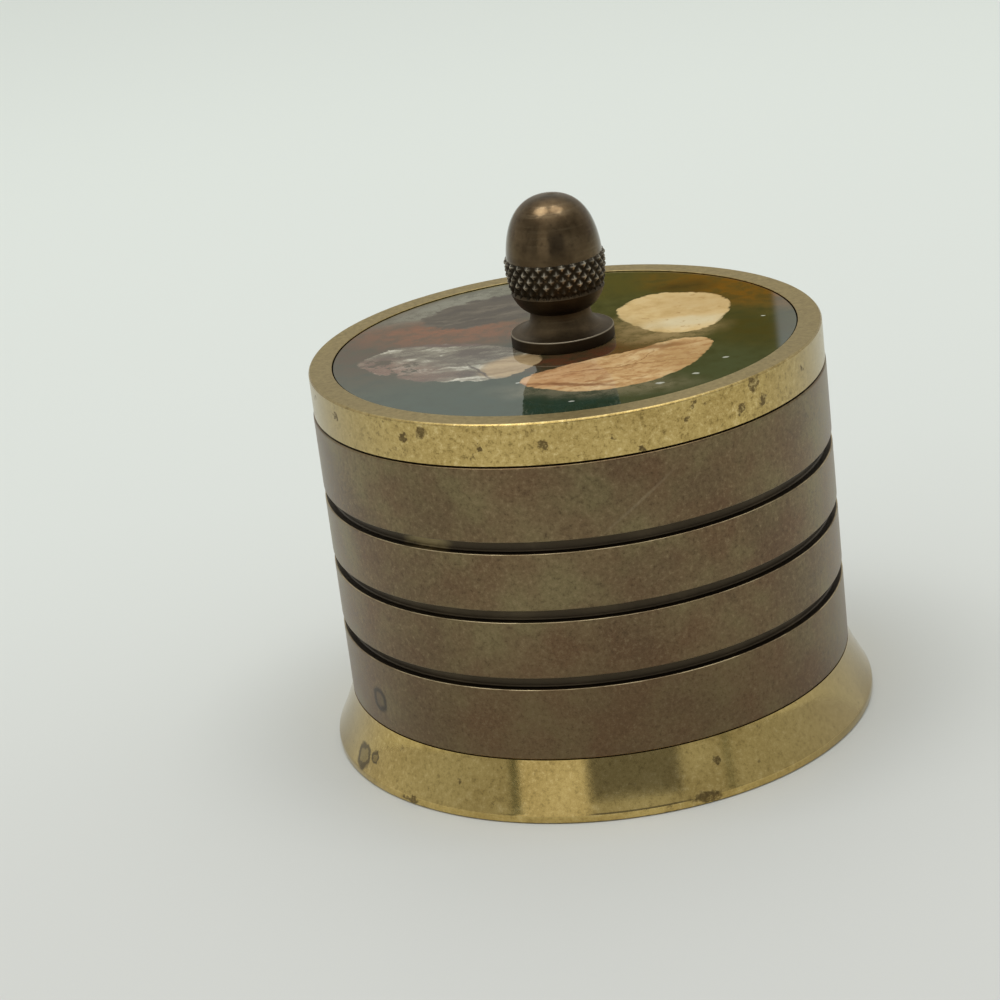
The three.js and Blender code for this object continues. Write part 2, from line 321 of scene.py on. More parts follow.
def bright_brass(name, grain_strength, roughness, relief, spots=(), drops=(), shaded_sides=(), top_face_above=FAR):
    finish, tree, shader, where = start_finish(name)
    grain = noise(tree, where, 0.65, detail=6, roughness=0.85)
    tone = ramp(tree, noise(tree, where, 8), (0.32, DUSKY_BRASS), (0.68, YELLOW_BRASS))
    tone = mix(tree, spread(tree, grain, 0.5, 0.68, 0, grain_strength), tone, BRASS_GLINT)
    tone = mix(tree, spread(tree, grain, 0.5, 0.34, 0, grain_strength), tone, BRASS_PIT)
    # Painted shade: duller patches at the left and right of the ring and the foot, where they reflect less
    # light.
    for centre, reach in shaded_sides:
        tone = tint(tree, tone, mark(tree, where, centre, reach, soft=0.9), 0.75, BRASS_SIDE_SHADE)
    # The lid's flat top is coloured darker and made more matt.
    top_face = spread(tree, height_of(tree, where), top_face_above - 0.03, top_face_above + 0.01, 0, 0.85)
    tone = mix(tree, top_face, tone, ramp(tree, grain, (0.35, TOP_FACE_DARK), (0.65, TOP_FACE_LIGHT)))
    tarnish = tarnish_spots(tree, where, grain, spots)
    tone = tint(tree, tone, tarnish, 0.85, TARNISH)
    wavy = ragged(tree, where, 1.1, 1.5)
    for centre, radius in drops:
        tone = mix(tree, drop_ring(tree, wavy, centre, radius, 0.5), tone, DROP_STAIN)
    matt = most(tree, tarnish, top_face)
    metal(tree, shader, tone, spread(tree, matt, 0, 1, roughness, roughness + 0.2), grain, relief)
    return finish


print("bright brass can be made")

# %% Finish the lid's ring, the foot and the hidden metal
# A spot on the lid has its angle, its height on the ring and its size.
LID_SPOTS = [
    (-151.8, 3.2, 0.5), (-128.3, 2.8, 0.55), (-123.3, 3.6, 0.7), (-110.2, 2.1, 0.4), (-96.5, 2.2, 0.55),
    (-82.3, 2.3, 0.3), (-76.3, 0.5, 0.4), (-66.3, 2.5, 0.3), (-64.6, 3.9, 0.4), (-52.2, 1.8, 0.65),
    (-48.4, 4, 0.8), (-45.9, 1.7, 0.6), (-30, 2.6, 0.4), (40, 2.2, 0.5), (75, 3, 0.4), (130, 1.6, 0.5),
]
# A spot or a dried drop on the foot has its radius, angle and height, and then its size.
FOOT_SPOTS = [
    ((30.5, -123.8, 3.9), 0.35), ((31, -115.8, 1.8), 0.35), ((30, -114, 5.7), 0.3),
    ((31.8, -136, 0.6), (1.2, 1.2, 0.35)), ((31.8, -72, 0.8), (1.8, 1.2, 0.5)), ((30.4, -68, 4.2), 0.5),
]
FOOT_DROPS = [((31, -155.2, 2.2), 1.2), ((30.7, -150.4, 2.9), 0.6)]
# A patch of painted shade has its angle and its size.
LID_SIDE_SHADE = [(-163, 13), (-18, 10)]
FOOT_SIDE_SHADE = [(-170, 8), (-22, 12)]

lid_brass = bright_brass(
    "lid_brass", grain_strength=0.8, roughness=0.24, relief=0.012, top_face_above=LID_TOP - 0.04,
    shaded_sides=[(on_turned_side(LID_RADIUS, angle, LID_LOW + 2), size) for angle, size in LID_SIDE_SHADE],
    spots=[(on_turned_side(LID_RADIUS, angle, LID_LOW + up), size) for angle, up, size in LID_SPOTS])
foot_brass = bright_brass(
    "foot_brass", grain_strength=0.5, roughness=0.09, relief=0.004,
    shaded_sides=[(on_turned_side(FOOT_RADIUS, angle, 3), size) for angle, size in FOOT_SIDE_SHADE],
    spots=[(on_turned_side(*place), size) for place, size in FOOT_SPOTS],
    drops=[(on_turned_side(*place), size) for place, size in FOOT_DROPS])
plain_brass = bright_brass("bare_brass", grain_strength=0.4, roughness=0.34, relief=0.01)
print("made", lid_brass.name, foot_brass.name, plain_brass.name)

# %% [markdown]
# ## Patinated brass
#
# The tube was left to brown, and its grooves were blackened. The brown is mottled: olive and reddish clouds
# under a fine grain, redder low at the front. The grooves could have a material of their own, but then every
# edge would be a hard line. Here the distance from the turning axis tells the groove from the band and from
# the rounded corner between them, which handling has polished and which also carries a painted highlight, so
# each tone fades into the next. One groove has a stretch where the black has worn off, and the bore is bare
# turned brass.

# %% Patinated brass finish
GROOVE_DEPTH = 0.9
GROOVE_FLOOR = TUBE_RADIUS - GROOVE_DEPTH
REDDISH, BROWN, OLIVE = (0.172, 0.103, 0.052), (0.192, 0.133, 0.066), (0.212, 0.166, 0.078)
DEEP_SHADE, PALE_SHADE = (0.13, 0.078, 0.043), (0.28, 0.215, 0.105)
GRAIN_LIGHT, GRAIN_DARK = (0.34, 0.255, 0.14), (0.07, 0.045, 0.022)
RUDDY, SCRATCHED, DRIED_DROP = (0.115, 0.066, 0.03), (0.4, 0.32, 0.2), (0.04, 0.028, 0.017)
GROOVE_BLACK, GROOVE_BROWN, BALD_GROOVE = (0.055, 0.04, 0.022), (0.11, 0.082, 0.046), (0.36, 0.28, 0.13)
WORN_AND_HIGHLIT_CORNER = (0.6, 0.49, 0.29)
BARE_DARK, BARE_LIGHT = (0.40, 0.285, 0.11), (0.57, 0.43, 0.18)


def brown_patina(tree, where, clouds, grain):
    shade = noise(tree, where, 13, detail=3)
    tone = ramp(tree, clouds, (0.36, REDDISH), (0.5, BROWN), (0.64, OLIVE))
    tone = mix(tree, spread(tree, shade, 0.5, 0.66, 0, 0.5), tone, DEEP_SHADE)
    tone = mix(tree, spread(tree, shade, 0.5, 0.34, 0, 0.2), tone, PALE_SHADE)
    tone = mix(tree, spread(tree, grain, 0.5, 0.68, 0, 0.7), tone, GRAIN_LIGHT)
    tone = mix(tree, spread(tree, grain, 0.5, 0.34, 0, 0.75), tone, GRAIN_DARK)
    low_front = on_turned_side(TUBE_RADIUS, -92, 9)
    ruddy = mark(tree, ragged(tree, where, 9, 9), low_front, (24, 24, 10), soft=0.7)
    tone = tint(tree, tone, ruddy, 0.45, RUDDY)
    scratch = mark(tree, where, (6.05, -28.6, 35.3), (4.6, 3, 0.16), turned=(0, -35, 0), soft=0.6)
    tone = tint(tree, tone, scratch, 0.25, SCRATCHED)
    low_left = on_turned_side(TUBE_RADIUS, -149.5, 9.9)
    return mix(tree, drop_ring(tree, ragged(tree, where, 1.6, 1), low_left, 1.15, 0.2), tone, DRIED_DROP)


def worn_and_highlit_corners(tree, where, radius):
    half = (TUBE_TOP - TUBE_LOW) / 2
    off_the_ends = mark(tree, where, (0, 0, TUBE_LOW + half), (FAR, FAR, half - 1), soft=0.02)
    corner = times(tree, spread(tree, radius, TUBE_RADIUS - 0.01, TUBE_RADIUS - 0.04), off_the_ends)
    return times(tree, corner, spread(tree, noise(tree, where, 5, detail=3), 0.4, 0.6, 0.15, 0.7))


def groove_black(tree, where, clouds):
    tone = mix(tree, spread(tree, clouds, 0.5, 0.7, 0, 0.4), GROOVE_BLACK, GROOVE_BROWN)
    top_left = on_turned_side(GROOVE_FLOOR, -127, 31.4)
    bald = mark(tree, ragged(tree, where, 1.5, 2.5), top_left, (2.6, 2.6, 0.9), soft=0.5)
    return tint(tree, tone, bald, 0.6, BALD_GROOVE)


def patinated_brass(name):
    finish, tree, shader, where = start_finish(name)
    clouds = noise(tree, where, 7, detail=5)
    grain = noise(tree, where, 0.5, detail=6, roughness=0.85)
    radius = radius_of(tree, where)
    tone = brown_patina(tree, where, clouds, grain)
    # Worn corners that also carry a painted highlight, where the groove edges catch the light.
    tone = mix(tree, worn_and_highlit_corners(tree, where, radius), tone, WORN_AND_HIGHLIT_CORNER)
    in_groove = spread(tree, radius, TUBE_RADIUS - 0.1, TUBE_RADIUS - 0.18)
    tone = mix(tree, in_groove, tone, groove_black(tree, where, clouds))
    in_bore = spread(tree, radius, GROOVE_FLOOR - 0.1, GROOVE_FLOOR - 0.3)
    tone = mix(tree, in_bore, tone, ramp(tree, grain, (0.35, BARE_DARK), (0.65, BARE_LIGHT)))
    metal(tree, shader, tone, spread(tree, grain, 0.3, 0.7, 0.34, 0.46), grain, 0.02)
    shader.inputs["Coat Weight"].default_value = 0.25
    shader.inputs["Coat Roughness"].default_value = 0.3
    return finish


tube_brass = patinated_brass("tube_brass")
print("made", tube_brass.name)

# %% [markdown]
# ## Turning
#
# A turned piece starts as a few points in the XZ plane, joined by edges. A point may carry a rounding as its
# third number: a vertex bevel on the bare outline is the same as a tool's nose taking off a corner, and it
# costs far less than bevelling whole rings later. Then one full spin about Z with merged ends closes the
# piece. A Screw modifier could do the spin too, but a mesh that is whole is easier to check. A
# weighted-normal modifier keeps the broad faces flat in the shading beside the small roundings. Hollow and
# swelling stretches are short curves between control points.

# %% Turning helpers
MERGE_DISTANCE = 0.0005 * MM
SHARP_ANGLE = math.radians(40)
ROUNDING_STEPS = 4


def merge_and_face_out(bm):
    bmesh.ops.remove_doubles(bm, verts=bm.verts[:], dist=MERGE_DISTANCE)
    bmesh.ops.recalc_face_normals(bm, faces=bm.faces[:])


def finish_piece(bm, name, body, node, finish):
    merge_and_face_out(bm)
    mesh = bpy.data.meshes.new(name)
    bm.to_mesh(mesh)
    bm.free()
    mesh.shade_smooth()
    mesh.set_sharp_from_angle(angle=SHARP_ANGLE)
    mesh.materials.append(finish)
    piece = add_object(name, mesh)
    even = piece.modifiers.new("even_shading", "WEIGHTED_NORMAL")
    even.keep_sharp = True
    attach(piece, body)
    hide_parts(node)
    print(name, len(mesh.polygons), "faces")


def spin_profile(bm, profile, steps, closed):
    corners = [bm.verts.new((point[0] * MM, 0, point[1] * MM)) for point in profile]
    for first, second in zip(corners, corners[1:] + corners[:1] if closed else corners[1:]):
        bm.edges.new((first, second))
    for corner, point in zip(corners, profile):
        if len(point) == 3:
            bmesh.ops.bevel(bm, geom=[corner], offset=point[2] * MM, offset_type="OFFSET",
                            segments=ROUNDING_STEPS, profile=0.5, affect="VERTICES", material=-1)
    bmesh.ops.spin(bm, geom=bm.verts[:] + bm.edges[:], cent=ORIGIN, axis=(0, 0, 1), dvec=(0, 0, 0),
                   angle=math.tau, steps=steps, use_merge=True)


def turn(name, profile, body, node, finish, steps=192, closed=True):
    bm = bmesh.new()
    spin_profile(bm, profile, steps, closed)
    finish_piece(bm, name, body, node, finish)


def curve(controls, count):
    points = []
    for i in range(1, count):
        row = controls
        while len(row) > 1:
            row = [tuple(a + (b - a) * i / count for a, b in zip(p, q)) for p, q in zip(row, row[1:])]
        points += row
    return points


print("the lathe is ready")

# %% [markdown]
# ## Foot, floor and tube
#
# The foot flares in a shallow hollow from the tube down to a small upright rim, and hides an upstand that
# goes up inside the tube. The floor is a plain disc on the foot's ledge. The tube's three grooves are cut
# square, with corners that handling has softened. They could be boolean cuts in a plain tube, but as steps
# in its profile they get their roundings for free, and those corners are what catches the light.

# %% Turn the foot and the floor
TUBE_WALL = 2.6
SLIP = 0.15
FLOOR_LEDGE = 1.7
FOOT_RIM_HEIGHT = 0.9
FLARE_HOLLOW = (TUBE_RADIUS + 0.68, 4.2)

TUBE_BORE = TUBE_RADIUS - TUBE_WALL
UPSTAND_RADIUS = TUBE_BORE - SLIP
UPSTAND_BORE = FLOOR_RADIUS + SLIP
FOOT_BORE = UPSTAND_BORE - FLOOR_LEDGE
FOOT_RIM_TOP = FOOT_LOW + FOOT_RIM_HEIGHT
flare = curve([(FOOT_RADIUS - 0.08, FOOT_RIM_TOP + 0.1), FLARE_HOLLOW, (TUBE_RADIUS, TUBE_LOW - 0.08)], 10)
turn(
    "foot",
    [(FOOT_BORE, FOOT_LOW, 0.2), (FOOT_RADIUS, FOOT_LOW, 0.25), (FOOT_RADIUS, FOOT_RIM_TOP, 0.2), *flare,
     (TUBE_RADIUS, TUBE_LOW), (UPSTAND_RADIUS, TUBE_LOW), (UPSTAND_RADIUS, UPSTAND_TOP, 0.2),
     (UPSTAND_BORE, UPSTAND_TOP, 0.2), (UPSTAND_BORE, FLOOR_LOW), (FOOT_BORE, FLOOR_LOW, 0.2)],
    "box", "foot_ring", foot_brass)
turn(
    "floor_disc",
    [(0, FLOOR_LOW), (FLOOR_RADIUS, FLOOR_LOW, 0.1), (FLOOR_RADIUS, FLOOR_TOP, 0.2), (0, FLOOR_TOP)],
    "box", "floor_plate", plain_brass, closed=False)

# %% Turn the tube
GROOVE_COUNT = 3
GROOVE_WIDTH = 1.35
GROOVE_PITCH = 7.9
FIRST_GROOVE = TUBE_LOW + 9.1

tube_profile = [(TUBE_BORE, TUBE_LOW, 0.1), (TUBE_RADIUS, TUBE_LOW, 0.28)]
for i in range(GROOVE_COUNT):
    low = FIRST_GROOVE + i * GROOVE_PITCH - GROOVE_WIDTH / 2
    high = low + GROOVE_WIDTH
    tube_profile += [(TUBE_RADIUS, low, 0.14), (GROOVE_FLOOR, low, 0.2),
                     (GROOVE_FLOOR, high, 0.2), (TUBE_RADIUS, high, 0.14)]
tube_profile += [(TUBE_RADIUS, TUBE_TOP, 0.2), (TUBE_BORE, TUBE_TOP, 0.2)]
turn("tube", tube_profile, "box", "body_tube", tube_brass)

# %% [markdown]
# ## Lid ring, plate and spigot
#
# The ring has a bright turned chamfer on its outer top edge, and an inner ledge for the plate that the
# stones are set on. The spigot below drops into the tube and keeps the lid from sliding off. All three
# could be one mesh, but on the real lid they are soldered together, so each is turned by itself.

# %% Turn the lid's metal pieces
LID_LEDGE = 2
LID_CHAMFER_WIDTH = 0.2
LID_CHAMFER_HEIGHT = 0.22
SPIGOT_WALL = 1.5
SCREW_HOLE = 1.9

SEAT_RADIUS = INLAY_RADIUS + SLIP
LEDGE_RADIUS = SEAT_RADIUS - LID_LEDGE
SPIGOT_BORE = SPIGOT_RADIUS - SPIGOT_WALL
turn(
    "lid_ring",
    [(LEDGE_RADIUS, LID_LOW, 0.1), (LID_RADIUS, LID_LOW, 0.2),
     (LID_RADIUS, LID_TOP - LID_CHAMFER_HEIGHT, 0.06), (LID_RADIUS - LID_CHAMFER_WIDTH, LID_TOP, 0.06),
     (SEAT_RADIUS, LID_TOP, 0.08), (SEAT_RADIUS, PLATE_LOW), (LEDGE_RADIUS, PLATE_LOW, 0.1)],
    "lid", "lid_rim", lid_brass)
turn(
    "lid_disc",
    [(SCREW_HOLE, PLATE_LOW, 0.1), (PLATE_RADIUS, PLATE_LOW), (PLATE_RADIUS, PLATE_TOP),
     (SCREW_HOLE, PLATE_TOP)],
    "lid", "lid_plate", plain_brass)
turn(
    "spigot",
    [(SPIGOT_BORE, SPIGOT_LOW, 0.2), (SPIGOT_RADIUS, SPIGOT_LOW, 0.3), (SPIGOT_RADIUS, SPIGOT_TOP),
     (SPIGOT_BORE, SPIGOT_TOP)],
    "lid", "lid_spigot", plain_brass)

# %% [markdown]
# ## Resin colour
#
# The resin isn't one green: it is teal at the front and left, olive and amber at the back right, red-brown
# between the knob and the front stone, and brown and red at the back left. One noise through a ramp would
# scatter these colours anywhere. So soft marks paint them one over the other, on slightly warped coordinates.
# It is a node group because the stones fade into it at their edges, where they dip under the resin. The pale
# zones at two of the stones are their sunk skirts.

# %% Resin colour group
# A zone has its colour, its place on the lid, how far it reaches, its angle and the softness of its edge.
RESIN_ZONES = {
    "teal front": ((0.021, 0.041, 0.026), (-6, -22), (24, 13), 0, 0.8),
    "green front right": ((0.030, 0.050, 0.026), (17, -17), (6, 6), 0, 0.7),
    "dark olive right": ((0.026, 0.024, 0.005), (21, -3.5), (4, 7), 15, 0.7),
    "olive back": ((0.046, 0.046, 0.012), (9, 20), (14, 6), -15, 0.6),
    "amber back right": ((0.150, 0.056, 0.003), (20, 13), (5.2, 10.5), 40, 0.6),
    "dark spot in the amber": ((0.024, 0.014, 0.005), (15, 15.5), (3.2, 2.4), 0, 0.9),
    "brown left": ((0.045, 0.026, 0.009), (-20, 9), (13, 17), 0, 0.5),
    "pale streak behind the agate": ((0.165, 0.168, 0.125), (-12.5, 19.5), (10, 2.8), 32, 0.8),
    "red streak before the agate": ((0.165, 0.050, 0.011), (-13, 7.6), (11, 4), -14, 0.8),
    "amber beside the knob": ((0.105, 0.060, 0.020), (7.5, -3.5), (6, 4), -35, 0.7),
    "red-brown before the knob": ((0.085, 0.030, 0.013), (2.5, -7.6), (8, 3), 14, 0.5),
    "skirt of the cream stone": ((0.300, 0.215, 0.105), (10.2, -0.2), (6.8, 4.6), -12, 0.5),
    "skirt of the peach stone": ((0.150, 0.135, 0.085), (3, -18.8), (9, 3), -12, 0.6),
}
RESIN_DARK, RESIN_LIGHT = (0.011, 0.023, 0.010), (0.045, 0.055, 0.021)


def lid_mark(tree, where, place, reach, angle=0, soft=0.3):
    return mark(tree, where, (*place, INLAY_TOP), (*reach, FAR), (0, 0, angle), soft)


def make_resin_colour():
    tree = bpy.data.node_groups.new("resin_colour", "ShaderNodeTree")
    tree.interface.new_socket("Millimetres", in_out="INPUT", socket_type="NodeSocketVector")
    tree.interface.new_socket("Color", in_out="OUTPUT", socket_type="NodeSocketColor")
    where = tree.nodes.new("NodeGroupInput").outputs["Millimetres"]
    fine = noise(tree, where, 2, detail=6, roughness=0.7)
    tone = ramp(tree, fine, (0.34, RESIN_DARK), (0.66, RESIN_LIGHT))
    warped = ragged(tree, where, 6, 5)
    strength = spread(tree, fine, 0.36, 0.6, 0.4, 1)
    for colour, place, reach, angle, soft in RESIN_ZONES.values():
        tone = tint(tree, tone, lid_mark(tree, warped, place, reach, angle, soft), strength, colour)
    output = tree.nodes.new("NodeGroupOutput")
    tree.links.new(tone, output.inputs["Color"])
    return tree


def resin_tone(tree, where):
    group = tree.nodes.new("ShaderNodeGroup")
    group.node_tree = resin_colour
    tree.links.new(where, group.inputs["Millimetres"])
    return group.outputs["Color"]


resin_colour = make_resin_colour()
print("made", resin_colour.name, "with", len(RESIN_ZONES), "zones")

# %% [markdown]
# ## Resin and stone finishes
#
# All of the inlay is ground and polished together, so every finish here has the same hard gloss. The
# resin holds a few bright air bubbles. A stone's edge could stop in a clean line, but real slices are
# nibbled, so a noise bites into it, and the grey slice also crumbles at its left end. The mesh attribute
# "inside" runs from 0 at a stone's outline to 1 on its open face, and it carries this edge.

# %% Polished finishes
POLISH_ROUGHNESS = 0.03
POLISH_IOR = 1.52
BUBBLE = (0.42, 0.43, 0.38)
BUBBLE_STRETCH = 1.6
BUBBLES = [((9.7, -20.1), 0.3), ((13.7, -18.2), 0.24), ((17.3, -13.7), 0.22), ((0.1, -22.9), 0.2),
           ((22.8, 0.1), 0.16), ((-5.5, -14.4), 0.18)]


def attribute(tree, name):
    node = tree.nodes.new("ShaderNodeAttribute")
    node.attribute_name = name
    return node.outputs["Fac"]


def polish(shader, tone):
    plug(shader.id_data, shader.inputs["Base Color"], tone)
    shader.inputs["Metallic"].default_value = 0
    shader.inputs["Roughness"].default_value = POLISH_ROUGHNESS
    shader.inputs["IOR"].default_value = POLISH_IOR


def resin_finish(name):
    finish, tree, shader, where = start_finish(name)
    tone = resin_tone(tree, where)
    uneven = ragged(tree, where, 0.5, 0.4)
    for place, size in BUBBLES:
        tone = mix(tree, lid_mark(tree, uneven, place, (BUBBLE_STRETCH * size, size)), tone, BUBBLE)
    polish(shader, tone)
    return finish


def stone_finish(name, figure, nibbling, crumbling=None):
    finish, tree, shader, where = start_finish(name)
    bitten = spread(tree, noise(tree, where, 1.4, detail=5), 0.35, 0.65, -nibbling, 0)
    edge = math_node(tree, "MULTIPLY_ADD", attribute(tree, "inside"), 1 + nibbling, bitten)
    if crumbling:
        crumbs = spread(tree, noise(tree, where, 2, detail=5, roughness=0.6), 0.42, 0.6, 0, 1.8)
        crumbs = times(tree, mark(tree, where, *crumbling, soft=0.6), crumbs)
        edge = math_node(tree, "SUBTRACT", edge, crumbs)
    polish(shader, mix(tree, spread(tree, edge, -0.1, 0.8), resin_tone(tree, where), figure(tree, where)))
    return finish


green_resin = resin_finish("polished_resin")
print("made", green_resin.name, "with", len(BUBBLES), "bubbles")

# %% [markdown]
# ## Stone figures
#
# Each stone has its own figure: sandy specks in the cream one, grain, cracks and rust lines in the peach one,
# long grey streaks with a tan end in the third, and dark bands in the agate. A picture of a stone could be
# wrapped on, but noise in millimetres stays sharp from close by. A stretched and turned noise gives the grain
# its direction, and a few marks put the stains where they are. Two more marks are painted shade, darkening
# the right ends of the cream and the peach stones.

# %% Cream and peach stones
def cream_figure(tree, where):
    sand = noise(tree, where, 2.6, detail=6, roughness=0.65)
    tone = ramp(tree, sand, (0.3, (0.54, 0.37, 0.16)), (0.5, (0.68, 0.495, 0.245)), (0.7, (0.74, 0.58, 0.33)))
    uneven = ragged(tree, where, 3, 3)
    pale = lid_mark(tree, uneven, (14.6, 1.4), (4.6, 1.8), soft=0.6)
    tone = tint(tree, tone, pale, 0.6, (0.69, 0.63, 0.45))
    # Painted shade darkening the right and upper end of the cream stone.
    shaded_end = lid_mark(tree, uneven, (16.5, 8.5), (6, 5), -25, soft=0.7)
    tone = tint(tree, tone, shaded_end, 0.5, (0.48, 0.325, 0.15))
    specks = spread(tree, noise(tree, where, 0.9), 0.62, 0.74, 0, 0.7)
    return mix(tree, specks, tone, (0.36, 0.2, 0.08))


def peach_stains(tree, where):
    uneven = ragged(tree, where, 1.6, 2)
    rust = lid_mark(tree, uneven, (0, -17), (5.6, 0.5), -22, soft=0.5)
    patch = lid_mark(tree, uneven, (10.6, -6.9), (2.8, 0.8), 4, soft=0.7)
    crack = lid_mark(tree, uneven, (6, -12.6), (6.5, 0.13), 3, soft=0.8)
    vein = lid_mark(tree, uneven, (8.5, -10.5), (0.07, 3), -30, soft=0.8)
    return most(tree, rust, patch, crack, vein)


def peach_figure(tree, where):
    along_grain = (0, 0, 14)
    grain = noise(tree, ragged(tree, where, 3, 4), (3.2, 2, 2), detail=6, roughness=0.68, turned=along_grain)
    tone = ramp(tree, grain, (0.3, (0.36, 0.175, 0.075)), (0.46, (0.55, 0.345, 0.165)),
                (0.6, (0.65, 0.455, 0.24)), (0.75, (0.72, 0.56, 0.34)))
    uneven = ragged(tree, where, 3, 3)
    warm = lid_mark(tree, uneven, (-2.2, -14.2), (5.5, 3), 20, soft=0.8)
    tone = tint(tree, tone, warm, 0.6, (0.52, 0.27, 0.12))
    # Painted shade darkening the right end of the peach stone.
    shaded_end = lid_mark(tree, uneven, (14, -12), (4.5, 4.5), soft=0.7)
    tone = tint(tree, tone, shaded_end, 0.65, (0.4, 0.235, 0.1))
    tone = tint(tree, tone, peach_stains(tree, where), 0.75, (0.2, 0.08, 0.034))
    specks = noise(tree, where, (2, 1.1, 1.1), detail=5, roughness=0.7, turned=along_grain)
    return mix(tree, spread(tree, specks, 0.5, 0.6, 0, 0.6), tone, (0.34, 0.17, 0.075))


cream_finish = stone_finish("polished_cream", cream_figure, nibbling=0.4)
peach_finish = stone_finish("polished_peach", peach_figure, nibbling=0.4)
print("made", cream_finish.name, peach_finish.name)

# %% Grey stone and agate
def grey_figure(tree, where):
    flow = ragged(tree, where, 3.2, 3.4)
    streaks = noise(tree, flow, (6.5, 2, 2), detail=6, roughness=0.62, turned=(0, 0, -4))
    tone = ramp(tree, streaks, (0.34, (0.062, 0.044, 0.032)), (0.46, (0.115, 0.096, 0.068)),
                (0.55, (0.205, 0.187, 0.135)), (0.66, (0.60, 0.58, 0.48)))
    plum = lid_mark(tree, ragged(tree, where, 3, 5), (-19.5, -5), (7, 3), -35, soft=0.8)
    tone = tint(tree, tone, plum, 0.7, (0.16, 0.07, 0.042))
    brow = lid_mark(tree, ragged(tree, where, 2, 1.6), (-12.6, 2.6), (8, 0.6), -17, soft=0.6)
    tone = tint(tree, tone, brow, 0.85, (0.07, 0.028, 0.02))
    tan = lid_mark(tree, ragged(tree, where, 2, 1), (-5, -8.2), (4.7, 3.9), 20, soft=0.2)
    tan_tone = ramp(tree, streaks, (0.35, (0.28, 0.19, 0.094)), (0.65, (0.45, 0.33, 0.182)))
    tone = mix(tree, tan, tone, tan_tone)
    crack = lid_mark(tree, ragged(tree, where, 1.5, 1), (-9.8, -8.4), (0.2, 3.6), 21, soft=0.6)
    return tint(tree, tone, crack, 0.85, (0.05, 0.03, 0.02))


def agate_figure(tree, where):
    along_bands = (0, 0, 12)
    bands = noise(tree, ragged(tree, where, 5, 4), (9, 1.7, 1.7), roughness=0.6, turned=along_bands)
    tone = ramp(tree, bands, (0.38, (0.010, 0.006, 0.003)), (0.5, (0.026, 0.019, 0.009)),
                (0.62, (0.078, 0.064, 0.042)))
    away = reach_from(tree, ragged(tree, where, 5, 3), (-10, 14, INLAY_TOP), (7, 4.4, FAR), along_bands)
    off_rim = math_node(tree, "ABSOLUTE", math_node(tree, "SUBTRACT", away, 0.9))
    return mix(tree, spread(tree, off_rim, 0.25, 0.05, 0, 0.5), tone, (0.034, 0.026, 0.014))


LEFT_END = (-22, -4, INLAY_TOP)
CRUMBLING_REACH = 6
grey_finish = stone_finish("polished_grey", grey_figure, nibbling=0.8, crumbling=(LEFT_END, CRUMBLING_REACH))
agate_finish = stone_finish("polished_agate", agate_figure, nibbling=0.6)
print("made", grey_finish.name, agate_finish.name)

# %% [markdown]
# ## Stones and resin
#
# A stone's outline is a closed Bezier curve through a few points with automatic handles. It could be drawn
# with many straight edges, but the curve needs only the points that the shape turns at. The curve becomes
# a ring of edges, a face fills the ring, insets mark the dipping edge, and an extrusion gives the slice its
# thickness. The resin is the plain disc around them: one fill between its circle and all the outlines.

# %% Stone outlines
# The points are shares of the inlay's radius.
STONES = {
    "cream": [(0.24, 0.3), (0.3, 0.44), (0.42, 0.53), (0.57, 0.5), (0.69, 0.42), (0.745, 0.27),
              (0.71, 0.09), (0.6, -0.08), (0.47, -0.1), (0.34, 0.02)],
    "peach": [(-0.2, -0.53), (-0.01, -0.38), (0.17, -0.31), (0.3, -0.27), (0.42, -0.2), (0.56, -0.19),
              (0.62, -0.25), (0.58, -0.42), (0.46, -0.62), (0.28, -0.74), (0.08, -0.76), (-0.09, -0.68)],
    "grey": [(-0.9, -0.07), (-0.82, 0.1), (-0.67, 0.15), (-0.45, 0.11), (-0.25, 0), (-0.1, -0.2),
             (-0.15, -0.36), (-0.29, -0.46), (-0.48, -0.43), (-0.7, -0.33), (-0.84, -0.17)],
    "agate": [(-0.64, 0.5), (-0.53, 0.67), (-0.36, 0.77), (-0.16, 0.8), (-0.02, 0.7), (-0.04, 0.52),
              (-0.2, 0.38), (-0.4, 0.32), (-0.56, 0.37)],
}
STEPS_BETWEEN_KNOTS = 10


def outline_points(knots):
    outline = bpy.data.curves.new("outline", "CURVE")
    outline.dimensions = "3D"
    outline.resolution_u = STEPS_BETWEEN_KNOTS
    spline = outline.splines.new("BEZIER")
    spline.use_cyclic_u = True
    spline.bezier_points.add(len(knots) - 1)
    for point, (x, y) in zip(spline.bezier_points, knots):
        point.co = (x * INLAY_RADIUS * MM, y * INLAY_RADIUS * MM, INLAY_TOP * MM)
    for point in spline.bezier_points:
        point.handle_left_type = point.handle_right_type = "AUTO"
    holder = bpy.data.objects.new("outline", outline)
    places = [v.co.copy() for v in holder.to_mesh().vertices]
    holder.to_mesh_clear()
    bpy.data.objects.remove(holder)
    bpy.data.curves.remove(outline)
    return places


outlines = {name: outline_points(knots) for name, knots in STONES.items()}
print({name: len(points) for name, points in outlines.items()})

# %% Cut the stones
DIPS = {"cream": 1, "peach": 0.8, "grey": 1.2, "agate": 2.4}
STONE_FINISHES = {"cream": cream_finish, "peach": peach_finish, "grey": grey_finish, "agate": agate_finish}
DIP_STEPS = ((0.4, 0.4), (0.6, 1.0))
INLAY_DROP = Vector((0, 0, (INLAY_LOW - INLAY_TOP) * MM))


def verts_in(geometry):
    return [item for item in geometry if isinstance(item, bmesh.types.BMVert)]


def open_edges(geometry):
    return [item for item in geometry if isinstance(item, bmesh.types.BMEdge) and item.is_boundary]


